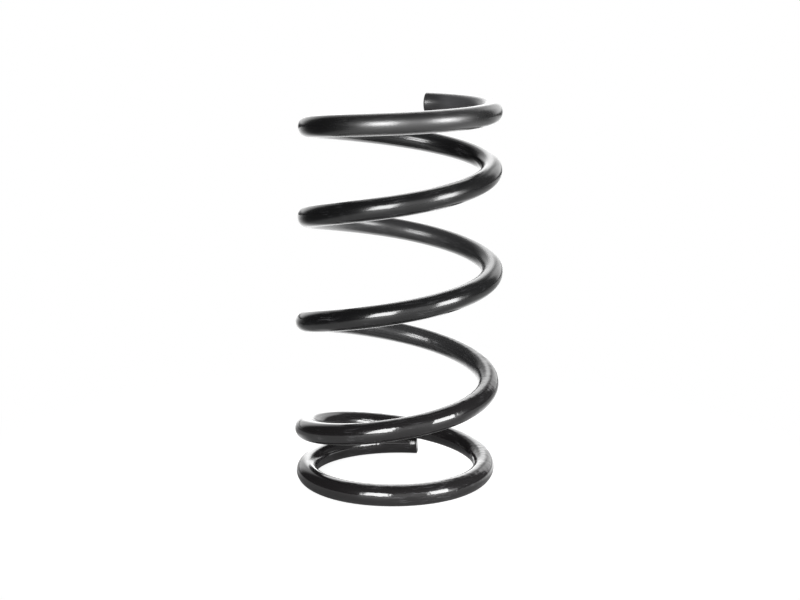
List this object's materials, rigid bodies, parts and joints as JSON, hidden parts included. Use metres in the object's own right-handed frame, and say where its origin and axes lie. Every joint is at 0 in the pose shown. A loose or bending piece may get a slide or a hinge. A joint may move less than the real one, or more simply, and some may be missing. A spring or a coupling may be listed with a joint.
{
  "type": "helical compression spring",
  "caption": "Right-hand wound compression coil spring of round wire, gloss black, with a closed lower end and an open upper end.",
  "frame": {"origin": "on the coil's axis, level with the lowest surface of the wire", "axes": "+Z along the coil's axis, from the closed lower end to the open upper end; both cut ends lie 76.5 degrees from +X towards +Y, and +Y points away from the picture's camera"},
  "size_m": [0.143, 0.1476, 0.2752],
  "materials": {
    "wire": "gloss black baked coating with a fine orange peel"
  },
  "bodies": {
    "root": {"spring": "wire"}
  },
  "joints": []
}
